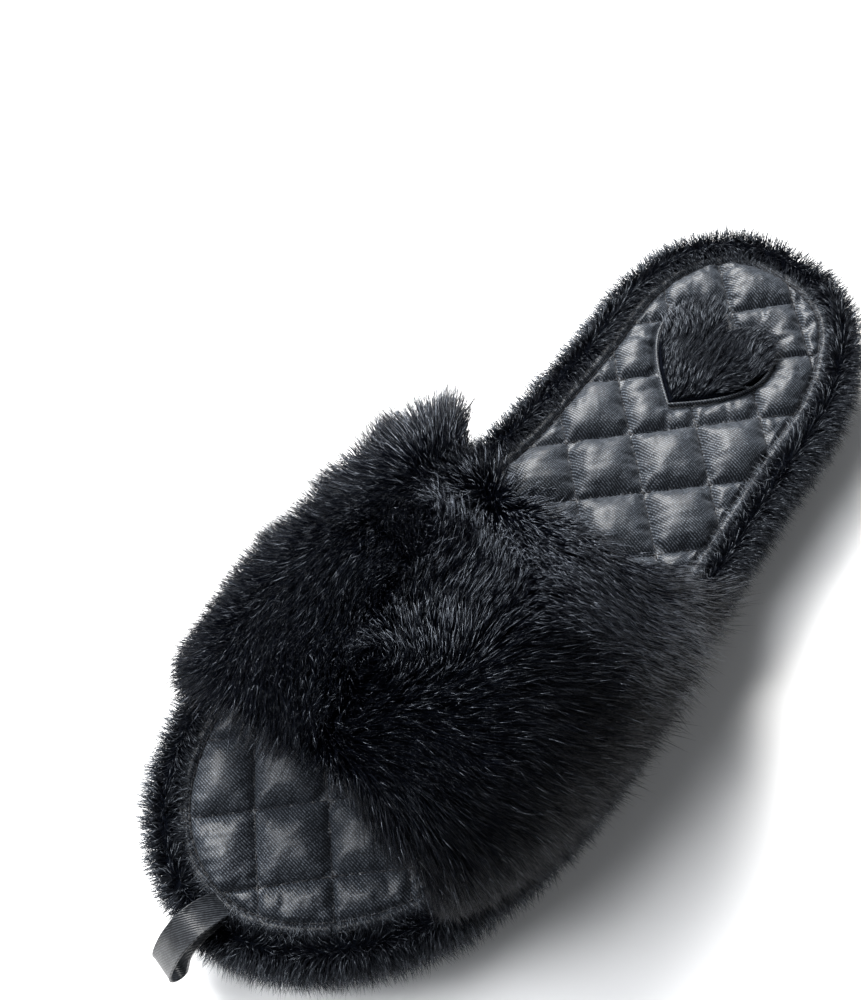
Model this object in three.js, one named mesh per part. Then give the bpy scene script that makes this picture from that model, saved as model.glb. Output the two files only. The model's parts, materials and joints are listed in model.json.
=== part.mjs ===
// A fluffy open-toe house slipper for the left foot, standing on its sole.
// Millimetres, +Z up. The toe points along -Y, the big-toe side is -X, and z = 0 is the ground.
import * as THREE from "three";

// ---- driving dimensions ----
const GAP = 0.3; // clearance between touching pieces
const RING_STEPS = 64; // points round the slipper's outline
const SOLE_THICK = 7; // rubber outsole
const SOLE_ROUND = 5; // how far the tread's rounded edge reaches in
const FOAM_INSET = 2.2; // platform layers stand inside the outsole's edge
const MIDSOLE_THICK = 10;
const BOARD_THICK = 2;
const COMFORT_THICK = 5;
const WADDING_THICK = 2.6;
const SOCK_THICK = 1.4; // quilted satin over the wadding
const SOCK_INSET = 4.5; // the sock's edge stands inside the outsole's edge
const WRAP_OUT = 8; // tips of the short pile outside the outsole's edge
const WRAP_RISE = 1.6; // rim of the wrap above the sock
const HEART = { x: -1.5, y: 82.5, width: 35, height: 36, edging: 1.6, rise: 1.5 };
const ARCH_STEPS = 24; // steps over the instep
const BAND_STEPS = 6; // steps from the strap's toe edge to its heel edge
const NORMAL_REACH = 0.02; // share of the arch on each side that gives its direction at a point
const ARCH_FULL = 0.8; // power of the arch's height: below 1 makes it fuller than an ellipse
const STRAP = {
  frontBase: -88,
  backBase: 13,
  frontCrown: -82,
  backCrown: -7,
  frontHeight: 34,
  backHeight: 46,
  lining: 1,
  padding: 3,
  fur: 10,
};
const LOOP = { x: -8, y: -123.6, turn: -10, width: 8, layer: 1 };
// Side view of the folded ribbon's middle line, outwards from the sewn root and up: over the rim,
// down to the fold and back underneath, which leaves an eye between the two layers.
const LOOP_ROUTE = [
  [0, 0.7], [7, 1], [11.5, -0.5], [14.8, -5], [17, -10], [18.8, -13.8],
  [20.9, -14.4], [22.2, -11.5], [21.4, -6.5], [18.2, -0.5], [13.5, 5], [7.5, 7.6], [2, 4.4],
];
const STITCH = { inset: 7, width: 0.7, thick: 0.4 }; // seam line on the sock

// Heights of the stacked layers, each resting GAP above the one below.
const Z_MIDSOLE = SOLE_THICK + GAP;
const Z_BOARD = Z_MIDSOLE + MIDSOLE_THICK + GAP;
const Z_COMFORT = Z_BOARD + BOARD_THICK + GAP;
const Z_WADDING = Z_COMFORT + COMFORT_THICK + GAP;
const Z_SOCK = Z_WADDING + WADDING_THICK + GAP;
const Z_TOP = Z_SOCK + SOCK_THICK;
const Z_RIM = Z_TOP + WRAP_RISE;

// ---- the outline every layer follows ----
// Outsole edge seen from above, counter-clockwise from the back of the heel.
const outsoleEdge = new THREE.CatmullRomCurve3(
  [
    [-1, 130], [-22, 123], [-33.5, 100], [-33, 68], [-34, 25], [-43, -18],
    [-52, -60], [-51, -90], [-38, -117], [-16, -129], [7, -125], [31, -102],
    [44, -66], [45.5, -32], [41, 10], [38, 57], [34.5, 98], [21, 123],
  ].map(([x, y]) => new THREE.Vector3(x, y, 0)),
  true,
);

// The outline moved outwards by offset, as Vector2 points.
function outline(offset, steps = RING_STEPS) {
  return Array.from({ length: steps }, (_, i) => {
    const p = outsoleEdge.getPointAt(i / steps);
    const t = outsoleEdge.getTangentAt(i / steps);
    return new THREE.Vector2(p.x + t.y * offset, p.y - t.x * offset);
  });
}

// Where the outline moved by offset crosses a given y, on the side -1 (medial) or +1 (lateral).
function edgeX(y, side, offset) {
  const points = outline(offset, 4 * RING_STEPS);
  const near = points.filter((p) => Math.sign(p.x - centreX(y)) === side);
  near.sort((a, b) => Math.abs(a.y - y) - Math.abs(b.y - y));
  const [a, b] = near;
  return a.y === b.y ? a.x : a.x + ((b.x - a.x) * (y - a.y)) / (b.y - a.y);
}

// A line down the middle of the sole, straight from heel to toe.
function centreX(y) {
  return THREE.MathUtils.mapLinear(y, 130, -129, 0, -12);
}

// ---- shared shapes ----
// A flat plate from z0 to z1 inside a closed list of points, with optional holes.
function plate(points, z0, z1, holes = []) {
  const shape = new THREE.Shape(points);
  shape.holes = holes.map((h) => new THREE.Path(h));
  const options = { depth: z1 - z0, bevelEnabled: false, curveSegments: 1 };
  return new THREE.ExtrudeGeometry(shape, options).translate(0, 0, z0);
}

// A body from rings of equal length, joined in order; caps close the two ends,
// or, without caps, the last ring joins the first.
function skin(rings, capped) {
  const n = rings[0].length;
  const index = [];
  const last = capped ? rings.length - 1 : rings.length;
  for (let r = 0; r < last; r++) {
    const here = r * n;
    const next = ((r + 1) % rings.length) * n;
    for (let i = 0; i < n; i++) {
      const j = (i + 1) % n;
      index.push(here + i, here + j, next + j, here + i, next + j, next + i);
    }
  }
  if (capped) {
    const flat = rings[0].map((p) => new THREE.Vector2(p.x, p.y));
    const top = (rings.length - 1) * n;
    for (const [a, b, c] of THREE.ShapeUtils.triangulateShape(flat, [])) {
      index.push(c, b, a, top + a, top + b, top + c);
    }
  }
  const geometry = new THREE.BufferGeometry();
  geometry.setFromPoints(rings.flat());
  geometry.setIndex(index);
  return geometry;
}

// Rings of the outline for a section given as [offset, z] pairs.
function outlineRings(section) {
  return section.map(([offset, z]) =>
    outline(offset).map((p) => new THREE.Vector3(p.x, p.y, z)),
  );
}

// ---- platform ----
function outsoleShape() {
  const arcs = 4;
  const round = Array.from({ length: arcs + 1 }, (_, i) => {
    const a = (i / arcs) * (Math.PI / 2);
    return [SOLE_ROUND * (Math.sin(a) - 1), SOLE_ROUND * (1 - Math.cos(a))];
  });
  return skin(outlineRings([...round, [0, SOLE_THICK]]), true);
}

// The fur strip round the platform: an L-shaped section whose top turns in over the layers.
function wrapShape() {
  const inner = -FOAM_INSET + GAP;
  const lip = -SOCK_INSET + GAP;
  const z0 = Z_MIDSOLE;
  const zLip = Z_COMFORT + COMFORT_THICK + GAP / 2;
  const section = [
    [inner, z0], [3, z0], [WRAP_OUT - 1.5, z0 + 3], [WRAP_OUT, z0 + 9],
    [WRAP_OUT - 0.5, Z_RIM - 6], [WRAP_OUT - 3.5, Z_RIM - 1.5], [2, Z_RIM],
    [-2, Z_RIM - 0.4], [lip, Z_TOP], [lip, zLip], [inner, zLip],
  ];
  return skin(outlineRings(section), false);
}

// The line of topstitching on the sock, just inside its edge.
function stitchShape() {
  const z = Z_TOP + GAP;
  const [outer, inner] = [0, STITCH.width].map((d) => outline(-STITCH.inset - d));
  return plate(outer, z, z + STITCH.thick, [inner]);
}

// ---- heart ----
// Half a heart is two curves from the tip up to the notch; the other half is its mirror image.
function heartOutline(grow) {
  const w = HEART.width / 2 + grow;
  const h = HEART.height / 2 + grow;
  const shape = new THREE.Shape();
  shape.moveTo(0, -h * 1.06);
  shape.bezierCurveTo(0.35 * w, -0.75 * h, w, -0.25 * h, w, 0.35 * h);
  shape.bezierCurveTo(w, 1.1 * h, 0.25 * w, 1.25 * h, 0, 0.66 * h);
  shape.bezierCurveTo(-0.25 * w, 1.25 * h, -w, 1.1 * h, -w, 0.35 * h);
  shape.bezierCurveTo(-w, -0.25 * h, -0.35 * w, -0.75 * h, 0, -h * 1.06);
  const points = shape.getPoints(8).slice(0, -1);
  return points.map((p) => new THREE.Vector2(p.x + HEART.x, p.y + HEART.y));
}

// ---- strap over the instep ----
// A point of the strap's inner face: u runs over the arch from -X to +X, v from toe to heel.
function archPoint(u, v) {
  const angle = Math.PI * (1 - u);
  const rise = Math.sin(angle);
  const { lerp } = THREE.MathUtils;
  const front = lerp(STRAP.frontBase, STRAP.frontCrown, rise);
  const back = lerp(STRAP.backBase, STRAP.backCrown, rise);
  const y = lerp(front, back, v);
  const left = edgeX(y, -1, -SOCK_INSET);
  const right = edgeX(y, 1, -SOCK_INSET);
  const height = lerp(STRAP.frontHeight, STRAP.backHeight, v);
  const x = (left + right) / 2 + ((right - left) / 2) * Math.cos(angle);
  return new THREE.Vector3(x, y, Z_RIM + GAP + height * Math.pow(rise, ARCH_FULL));
}

// A layer of the strap between two distances out from its inner face.
function strapLayer(inside, outside) {
  const face = [];
  for (let i = 0; i <= ARCH_STEPS; i++) {
    const u = i / ARCH_STEPS;
    const row = [];
    for (let j = 0; j <= BAND_STEPS; j++) {
      const v = j / BAND_STEPS;
      const p = archPoint(u, v);
      const a = archPoint(Math.max(u - NORMAL_REACH, 0), v);
      const b = archPoint(Math.min(u + NORMAL_REACH, 1), v);
      const along = b.sub(a);
      const normal = new THREE.Vector3(-along.z, 0, along.x);
      if (i === 0 || i === ARCH_STEPS) normal.set(i ? 1 : -1, 0, 0);
      row.push({ p, normal: normal.normalize() });
    }
    face.push(row);
  }
  const moved = ({ p, normal }, d) => p.clone().addScaledVector(normal, d);
  const rings = face.map((row) => [
    ...row.map((k) => moved(k, inside)),
    ...[...row].reverse().map((k) => moved(k, outside)),
  ]);
  return closeEnds(rings);
}

// Joins rings and closes the first and last ring, each folded flat: points i and n-1-i face each other.
function closeEnds(rings) {
  const n = rings[0].length;
  const geometry = skin(rings, false);
  const wall = (rings.length - 1) * n * 6;
  const index = Array.from(geometry.index.array).slice(0, wall);
  const top = (rings.length - 1) * n;
  for (let i = 0; i < n / 2 - 1; i++) {
    const [a, b, c, d] = [i, i + 1, n - 2 - i, n - 1 - i];
    index.push(c, b, a, d, c, a, top + a, top + b, top + c, top + a, top + c, top + d);
  }
  geometry.setIndex(index);
  return geometry;
}

// ---- hang loop ----
// The ribbon's side view, thickened to both sides of LOOP_ROUTE and extruded across its width.
function loopShape() {
  const path = new THREE.CatmullRomCurve3(
    LOOP_ROUTE.map(([y, z]) => new THREE.Vector3(0, y, z)),
    true,
  );
  const steps = 44;
  const side = (offset) =>
    Array.from({ length: steps }, (_, i) => {
      const p = path.getPointAt(i / steps);
      const t = path.getTangentAt(i / steps);
      return new THREE.Vector2(p.y - t.z * offset, p.z + t.y * offset);
    });
  const half = LOOP.layer / 2;
  const ribbonSide = plate(side(-half), -LOOP.width / 2, LOOP.width / 2, [side(half)]);
  // Stand the side view up: its x becomes -y, its y becomes z, and the extrusion runs across.
  const stand = new THREE.Matrix4().set(0, 0, -1, 0, -1, 0, 0, 0, 0, 1, 0, 0, 0, 0, 0, 1);
  return ribbonSide.applyMatrix4(stand);
}

// ---- materials ----
function finish(color, roughness, metalness = 0) {
  return new THREE.MeshStandardMaterial({ color, roughness, metalness });
}
const rubber = finish(0x5b6063, 0.75);
const foam = finish(0x2b2c2e, 0.9);
const board = finish(0x8a7a62, 0.9);
const blackFur = finish(0x101215, 0.65);
const satin = finish(0x2a2c31, 0.4);
const lining = finish(0x17181a, 0.85);
const ribbon = finish(0x15161a, 0.3);

const slipper = new THREE.Group();
function add(name, geometry, material) {
  const mesh = new THREE.Mesh(geometry, material);
  mesh.name = name;
  slipper.add(mesh);
}

const layer = outline(-FOAM_INSET);
const sock = outline(-SOCK_INSET);
add("outsole", outsoleShape(), rubber);
add("midsole", plate(layer, Z_MIDSOLE, Z_MIDSOLE + MIDSOLE_THICK), foam);
add("insole_board", plate(layer, Z_BOARD, Z_BOARD + BOARD_THICK), board);
add("comfort_foam", plate(layer, Z_COMFORT, Z_COMFORT + COMFORT_THICK), foam);
add("quilt_wadding", plate(sock, Z_WADDING, Z_WADDING + WADDING_THICK), lining);
add("quilted_sock", plate(sock, Z_SOCK, Z_TOP, [heartOutline(GAP)]), satin);
add("heart_inlay", plate(heartOutline(0), Z_SOCK, Z_TOP + HEART.rise), blackFur);
add(
  "heart_edging",
  plate(heartOutline(GAP + HEART.edging), Z_TOP + GAP, Z_TOP + HEART.rise, [heartOutline(GAP)]),
  satin,
);
add("fur_wrap", wrapShape(), blackFur);
const paddingFace = STRAP.lining + GAP;
const furFace = paddingFace + STRAP.padding + GAP;
add("strap_lining", strapLayer(0, STRAP.lining), lining);
add("strap_padding", strapLayer(paddingFace, paddingFace + STRAP.padding), foam);
add("strap_fur", strapLayer(furFace, furFace + STRAP.fur), blackFur);
add("rim_stitching", stitchShape(), lining);

const loop = new THREE.Mesh(loopShape(), ribbon);
loop.name = "hang_loop";
loop.position.set(LOOP.x, LOOP.y, Z_RIM + GAP);
loop.rotation.z = THREE.MathUtils.degToRad(LOOP.turn);
slipper.add(loop);

export default slipper;
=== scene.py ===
"""The looks of a black fluffy house slipper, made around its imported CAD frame.

Metres, +Z up. The toe points along -Y, the big-toe side is -X and the ground is z = 0.
"""

import json
import math

import bpy
import numpy as np
from mathutils import Matrix, Vector


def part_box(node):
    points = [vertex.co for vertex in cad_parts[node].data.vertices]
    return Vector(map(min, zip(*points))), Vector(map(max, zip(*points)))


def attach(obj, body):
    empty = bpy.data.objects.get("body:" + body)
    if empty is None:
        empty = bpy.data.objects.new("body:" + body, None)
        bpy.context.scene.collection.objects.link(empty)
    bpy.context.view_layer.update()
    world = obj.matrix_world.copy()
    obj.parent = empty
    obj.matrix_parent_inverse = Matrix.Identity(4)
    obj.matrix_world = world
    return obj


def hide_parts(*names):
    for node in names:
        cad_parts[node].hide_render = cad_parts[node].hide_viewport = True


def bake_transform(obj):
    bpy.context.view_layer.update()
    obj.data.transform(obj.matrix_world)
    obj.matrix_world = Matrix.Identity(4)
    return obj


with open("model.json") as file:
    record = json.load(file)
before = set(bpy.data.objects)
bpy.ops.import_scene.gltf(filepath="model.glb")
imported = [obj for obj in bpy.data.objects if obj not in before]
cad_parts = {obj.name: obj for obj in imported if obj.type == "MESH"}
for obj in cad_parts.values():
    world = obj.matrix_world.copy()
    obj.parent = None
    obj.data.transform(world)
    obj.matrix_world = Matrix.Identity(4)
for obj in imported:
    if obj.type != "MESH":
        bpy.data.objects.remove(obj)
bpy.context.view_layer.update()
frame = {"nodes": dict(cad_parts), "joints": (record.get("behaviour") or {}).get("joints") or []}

# ---------------------------------------------------------------- sizes
MM = 0.001
TAU = 2 * math.pi
SLIPPER = "slipper"  # CAD body of everything but the ribbon

QUILT_CELL = 19.3 * MM  # side of a sewn square, which stands on its corner
QUILT_NODE = (-18.5 * MM, 62.5 * MM)  # one crossing of the sewn lines
QUILT_STEPS = 14  # simulated points along a sewn square's side
QUILT_DRIFT = 0.5 * MM  # how far the sewn lines stray
PUFF_RISE = 1.5  # the puffs' height against the simulated cloth's, which has no wadding pushing up
QUILT_STITCH = 2.5 * MM  # pitch of the quilting's stitches
RIM_STITCH = 3.0 * MM  # pitch of the topstitching
RIM_SEAM = 0.66  # length of the topstitched seam
QUILT_FLOAT = (1.9 * MM, 0.24 * MM)  # length and radius of a stitch
RIM_FLOAT = (2.3 * MM, 0.28 * MM)
STITCH_LIFT = 0.28 * MM  # of a stitch's middle over the satin
STITCHED_REACH = 126 * MM  # no quilting stitch is further than this from the middle, toe or heel
PUCKER = 0.09 * MM  # height of the puckers that cross a sewn line
PUCKER_PITCH = 3.3 * MM
PUCKER_REACH = 2.4 * MM
SEAM_INSET = 2.6 * MM  # topstitching, in from the sock's edge
SEAM_DEPTH = 0.60 * MM
SEAM_WIDTH = 0.6 * MM
SOCK_INSET = -4.5 * MM  # the sock's edge against the outsole's edge

TREAD_BORDER = 12.5 * MM  # smooth rim round the tread
TREAD_WAIST = 7 * MM  # the rim is this much wider on the arch side of the waist
TREAD_PITCH = 2.0 * MM
TREAD_WAVE = 1.9 * MM
TREAD_WAVELENGTH = 32 * MM
TREAD_SHIFT = 1 / 14  # how far each groove's wave is ahead of its neighbour's, in turns
TREAD_DEPTH = 0.9 * MM
SOLE_ROUND = 5 * MM  # radius of the outsole's lower edge
PLATE_CENTRE = (2 * MM, 8 * MM)
PLATE_SIZE = (25 * MM, 15 * MM)
PLATE_RECESS = 0.9 * MM
BEAD_RADIUS = 0.55 * MM  # of the adhesive between the sole and the strip

STRAP_PAD = (1.2 * MM, 4.4 * MM)  # padding between these heights over the lining's face
STRAP_FRONT_SHARE = 0.74  # height of the arch at the toe end against the heel end
STRAP_CROWN_SHIFT = (6 * MM, -20 * MM)  # the two edges' moves along Y from base to crown
STRAP_LEAN = -6 * MM  # the crown's lean in x at the heel edge
ARCH_RISE = 0.7
ARCH_SPREAD = 0.8

RIBBON_HALF_WIDTH = 4.0 * MM
RIBBON_HALF_THICK = 0.22 * MM
HEART_ROLL = 0.42 * MM  # radius of the heart's edging

LONG_PILE = 15 * MM
SHORT_PILE = 7 * MM
HEART_PILE = 5.5 * MM
STRIP_HAIR = 0.095 * MM  # radii of the hairs at their roots
HEART_HAIR = 0.10 * MM
UNDER_COAT_HAIR = 0.12 * MM
LONG_HAIR = 0.10 * MM
STRIP_ROLL = (0.78, 0.12)  # middle and reach of the strip's rolled rim, from 0 at the sole to 1 at the sock
STRIP_LOCK = 2.2 * MM  # size of the cells whose hairs gather to one lock
HEART_LOCK = 2.4 * MM
STRAP_LOCKS = (60, 36)  # cells over the arch and from toe to heel
LOWEST_HAIR = 1.5 * MM  # the strip's hairs stay this far off the ground

OUTLINE_TERMS = 18  # waves kept in the outline, each way round
NUMBER_HEIGHT = 9 * MM
CLOTH_FRAMES = 20
CREASE_ANGLE = math.radians(50)


# ---------------------------------------------------------------- meshes
def grid_faces(rows, columns, wrap_rows=False, wrap_columns=False):
    """Quads over a grid of points numbered row by row; a wrap joins the last row or column to the first."""
    r = np.arange(rows if wrap_rows else rows - 1)
    c = np.arange(columns if wrap_columns else columns - 1)
    r, c = np.meshgrid(r, c, indexing="ij")
    r2, c2 = (r + 1) % rows, (c + 1) % columns
    quads = np.stack([r * columns + c, r * columns + c2, r2 * columns + c2, r2 * columns + c], -1)
    return quads.reshape(-1, 4)


def signed_volume(points, faces):
    """The sum over triangles of a . (b x c) / 6, which is positive when faces point outwards."""
    fans = [f[:, [0, i, i + 1]] for f in faces for i in range(1, f.shape[1] - 1)]
    a, b, c = (points[np.concatenate(fans)[:, i]] for i in range(3))
    return float(np.einsum("ij,ij->i", a, np.cross(b, c)).sum()) / 6


def mesh_piece(name, points, faces, materials, body=SLIPPER, face_material=None, creased=False):
    """A closed, smooth-shaded mesh object from an N by 3 array of points and arrays of faces.

    creased keeps a hard edge where two faces meet at over CREASE_ANGLE."""
    points = np.asarray(points, np.float64).reshape(-1, 3)
    faces = [np.asarray(f, np.int32) for f in (faces if isinstance(faces, list) else [faces])]
    if signed_volume(points, faces) < 0:
        faces = [f[:, ::-1] for f in faces]
    mesh = bpy.data.meshes.new(name)
    mesh.vertices.add(len(points))
    mesh.vertices.foreach_set("co", points.astype(np.float32).ravel())
    sizes = np.concatenate([np.full(len(f), f.shape[1]) for f in faces])
    mesh.loops.add(int(sizes.sum()))
    mesh.loops.foreach_set("vertex_index", np.concatenate([f.ravel() for f in faces]))
    mesh.polygons.add(len(sizes))
    mesh.polygons.foreach_set("loop_start", np.concatenate([[0], np.cumsum(sizes)[:-1]]))
    mesh.update(calc_edges=True)
    mesh.polygons.foreach_set("use_smooth", np.ones(len(sizes), bool))
    for m in materials if isinstance(materials, list) else [materials]:
        mesh.materials.append(m)
    if face_material is not None:
        mesh.polygons.foreach_set("material_index", face_material.astype(np.int32))
    if creased:
        mesh.set_sharp_from_angle(angle=CREASE_ANGLE)
    mesh.validate()
    obj = bpy.data.objects.new(name, mesh)
    bpy.context.scene.collection.objects.link(obj)
    if body:
        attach(obj, body)
    return obj


def ring_stack(name, rings, material):
    """A closed solid from rings of points, one above another: a fan to a middle point closes each end."""
    count, n = rings.shape[:2]
    points = np.concatenate([rings.reshape(-1, 3), rings[[0, -1]].mean(1)])
    k = np.arange(n)
    after, top = (k + 1) % n, (count - 1) * n
    low_fan = np.stack([np.full(n, count * n), after, k], -1)
    high_fan = np.stack([top + k, top + after, np.full(n, count * n + 1)], -1)
    return mesh_piece(name, points, [grid_faces(count, n, False, True), low_fan, high_fan], material)


def smoothstep(low, high, x):
    """0 below low, 1 above high, and 3t^2 - 2t^3 between."""
    t = np.clip((x - low) / (high - low), 0, 1)
    return t * t * (3 - 2 * t)


def wander(x, y, size, seed):
    """A smooth random field, mostly from -1 to 1: ten sine waves of seeded directions, added, over 4.5."""
    rng = np.random.default_rng(seed)
    total = np.zeros_like(np.asarray(x, float))
    for angle, phase, stretch in rng.random((10, 3)):
        k = TAU / size * (0.6 + 0.9 * stretch)
        total += np.sin(k * (x * math.cos(TAU * angle) + y * math.sin(TAU * angle)) + TAU * phase)
    return total / 4.5


# ---------------------------------------------------------------- the slipper's outline
def node_points(node):
    """Every corner of a CAD node, as an N by 3 array."""
    mesh = frame["nodes"][node].data
    points = np.empty(3 * len(mesh.vertices))
    mesh.vertices.foreach_get("co", points)
    return points.reshape(-1, 3)


def outline_waves():
    """Fourier terms of the outsole's edge: its corners at the top face, in order round their middle."""
    points = node_points("outsole")
    top = points[points[:, 2] > points[:, 2].max() - 0.1 * MM]
    z = np.unique(np.round((top[:, 0] + 1j * top[:, 1]) / (0.01 * MM))) * 0.01 * MM
    z = z[np.argsort(np.angle(z - z.mean()))]
    terms = np.fft.fft(z) / len(z)
    turns = np.fft.fftfreq(len(z), 1 / len(z))
    keep = np.abs(turns) <= OUTLINE_TERMS
    return terms[keep], turns[keep]


WAVES, TURNS = outline_waves()


def edge(t, out=0.0):
    """Points round the outline at t from 0 to 1, counter-clockwise, moved outwards by out, as x + iy.

    The sum of c_k exp(2 pi i k t), and the same with 2 pi i k for its direction."""
    t = np.asarray(t, float)
    turn = np.exp(1j * TAU * np.multiply.outer(t, TURNS))
    along = turn @ (WAVES * 1j * TAU * TURNS)
    return turn @ WAVES - 1j * along / np.abs(along) * out


def edge_normal(t):
    """The outward direction at t, as x + iy."""
    return edge(t, 1.0) - edge(t)


EDGE_STEPS = 1440
EDGE_T = np.arange(EDGE_STEPS) / EDGE_STEPS


def side_x(y, out):
    """x of the outline moved by out, at each y, on the -X side and on the +X side."""
    z = edge(EDGE_T, out)
    start, end = np.argmin(z.imag), np.argmax(z.imag)
    ring = np.roll(z, -start)
    n = (end - start) % EDGE_STEPS
    right, left = ring[: n + 1], ring[n:][::-1]
    return np.interp(y, left.imag, left.real), np.interp(y, right.imag, right.real)


def inside_distance(x, y, curve):
    """Distance from each point to the nearest point of a closed curve given as x + iy."""
    z = (x + 1j * y).ravel()
    near = [np.abs(part[:, None] - curve[None, :]).min(1) for part in np.array_split(z, 1 + len(z) // 4000)]
    return np.concatenate(near).reshape(np.shape(x))


def end_spaced(low, high, count, sharp=0.75):
    """Values from low to high, closer together near both ends: a blend of even steps and a half cosine."""
    s = np.linspace(0, 1, count)
    return low + (high - low) * ((1 - sharp) * s + sharp * (1 - np.cos(math.pi * s)) / 2)


def rows_inside(out, y_rows, across):
    """A grid of x and y inside the outline moved by out: each row runs from side to side at its y."""
    left, right = side_x(y_rows, out)
    x = left[:, None] + (right - left)[:, None] * across[None, :]
    return x, np.repeat(y_rows[:, None], len(across), 1)


def slab(name, x, y, shaped, flat, material):
    """A closed body over one grid of x and y: a shaped face, a flat one of strips, and a wall between."""
    rows, columns = x.shape
    n = rows * columns
    ends = [0, columns - 1]
    level = np.full((rows, 2), flat)
    points = np.concatenate([np.stack([x, y, shaped], -1).reshape(-1, 3),
                             np.stack([x[:, ends], y[:, ends], level], -1).reshape(-1, 3)])
    number = np.arange(n).reshape(rows, columns)
    left = n + 2 * np.arange(rows)
    right = left + 1
    faces = [
        grid_faces(rows, columns),
        np.stack([left[1:], right[1:], right[:-1], left[:-1]], -1),
        np.stack([number[:-1, 0], number[1:, 0], left[1:], left[:-1]], -1),
        np.stack([number[1:, -1], number[:-1, -1], right[:-1], right[1:]], -1),
        np.concatenate([number[0, ::-1], left[:1], right[:1]])[None],
        np.concatenate([number[-1], right[-1:], left[-1:]])[None],
    ]
    return mesh_piece(name, points, faces, material, creased=True)


def ring_body(name, section, steps, material):
    """A closed ring: a closed section of (out, z) pairs carried once round the outline."""
    t = np.arange(steps) / steps
    flat = np.stack([edge(t, o) for o in section[:, 0]], 1)
    points = np.stack([flat.real, flat.imag, np.broadcast_to(section[:, 1], flat.shape)], -1)
    return mesh_piece(name, points, grid_faces(steps, len(section), True, True), material)


def curve_through(points, count):
    """A Catmull-Rom curve through points, sampled count times at even steps of its own length."""
    p = np.asarray(points, float)
    segments = len(p) - 1
    s = np.linspace(0, segments, 60 * segments + 1)
    i = np.minimum(s.astype(int), segments - 1)
    f = (s - i)[:, None]
    a, b, c, d = (p[np.clip(i + k, 0, segments)] for k in (-1, 0, 1, 2))
    fine = 0.5 * (2 * b + (c - a) * f + (2 * a - 5 * b + 4 * c - d) * f**2 + (3 * b - a - 3 * c + d) * f**3)
    length = np.concatenate([[0], np.cumsum(np.linalg.norm(np.diff(fine, axis=0), axis=1))])
    at = np.linspace(0, length[-1], count)
    return np.stack([np.interp(at, length, fine[:, k]) for k in range(p.shape[1])], -1)


def unit(v):
    """Each vector at length 1."""
    return v / np.maximum(np.linalg.norm(v, axis=-1, keepdims=True), 1e-12)


# ---------------------------------------------------------------- materials
def new_material(name, colour, roughness, **sockets):
    """A Principled material with plain values set on its shader's own sockets."""
    m = bpy.data.materials.new(name)
    m.use_nodes = True
    m.diffuse_color = (*colour, 1)
    shader = m.node_tree.nodes["Principled BSDF"]
    shader.inputs["Base Color"].default_value = (*colour, 1)
    shader.inputs["Roughness"].default_value = roughness
    for socket, value in sockets.items():
        shader.inputs[socket.replace("_", " ")].default_value = value
    return m


def shader_of(m):
    """The material's Principled shader."""
    return m.node_tree.nodes["Principled BSDF"]


def add_node(m, kind, **values):
    """A node of a material's tree, with the given inputs or settings."""
    node = m.node_tree.nodes.new(kind)
    for key, value in values.items():
        name = key.replace("_", " ")
        if name in node.inputs:
            node.inputs[name].default_value = value
        else:
            setattr(node, key, value)
    return node


def link(m, a, b):
    """Joins an output socket to an input socket."""
    m.node_tree.links.new(a, b)


def object_position(m, scale=(1, 1, 1), turn=0.0):
    """Object coordinates, turned about Z and scaled."""
    where = add_node(m, "ShaderNodeTexCoord")
    mapping = add_node(m, "ShaderNodeMapping")
    mapping.inputs["Scale"].default_value = scale
    mapping.inputs["Rotation"].default_value = (0, 0, turn)
    link(m, where.outputs["Object"], mapping.inputs["Vector"])
    return mapping.outputs["Vector"]


def ramp(m, value, stops):
    """A colour ramp over value with (place, colour) stops."""
    node = add_node(m, "ShaderNodeValToRGB")
    elements = node.color_ramp.elements
    while len(elements) < len(stops):
        elements.new(0.5)
    for element, (place, colour) in zip(elements, stops):
        element.position = place
        element.color = (*colour, 1)
    link(m, value, node.inputs["Fac"])
    return node.outputs["Color"]


def noise(m, position, size, detail=3.0, roughness=0.55):
    """Noise whose features are about size metres across."""
    node = add_node(m, "ShaderNodeTexNoise", Scale=1 / size, Detail=detail, Roughness=roughness)
    link(m, position, node.inputs["Vector"])
    return node.outputs["Fac"]


def stripes(m, position, pitch, axis, wobble=0.0):
    """A sine band pattern that repeats every pitch metres along X or Y."""
    node = add_node(m, "ShaderNodeTexWave", Scale=TAU / 20 / pitch, Distortion=wobble)
    node.bands_direction = axis
    node.inputs["Detail Scale"].default_value = 2.0
    link(m, position, node.inputs["Vector"])
    return node.outputs["Fac"]


def maths(m, operation, a, b):
    """One Math node; a and b are sockets or numbers."""
    node = add_node(m, "ShaderNodeMath", operation=operation)
    for value, socket in zip((a, b), node.inputs):
        if isinstance(value, (int, float)):
            socket.default_value = value
        else:
            link(m, value, socket)
    return node.outputs["Value"]


def bump(m, height, depth, strength=1.0):
    """Bump of depth metres from a height from 0 to 1."""
    node = add_node(m, "ShaderNodeBump", Strength=strength, Distance=depth)
    link(m, height, node.inputs["Height"])
    link(m, node.outputs["Normal"], shader_of(m).inputs["Normal"])


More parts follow.
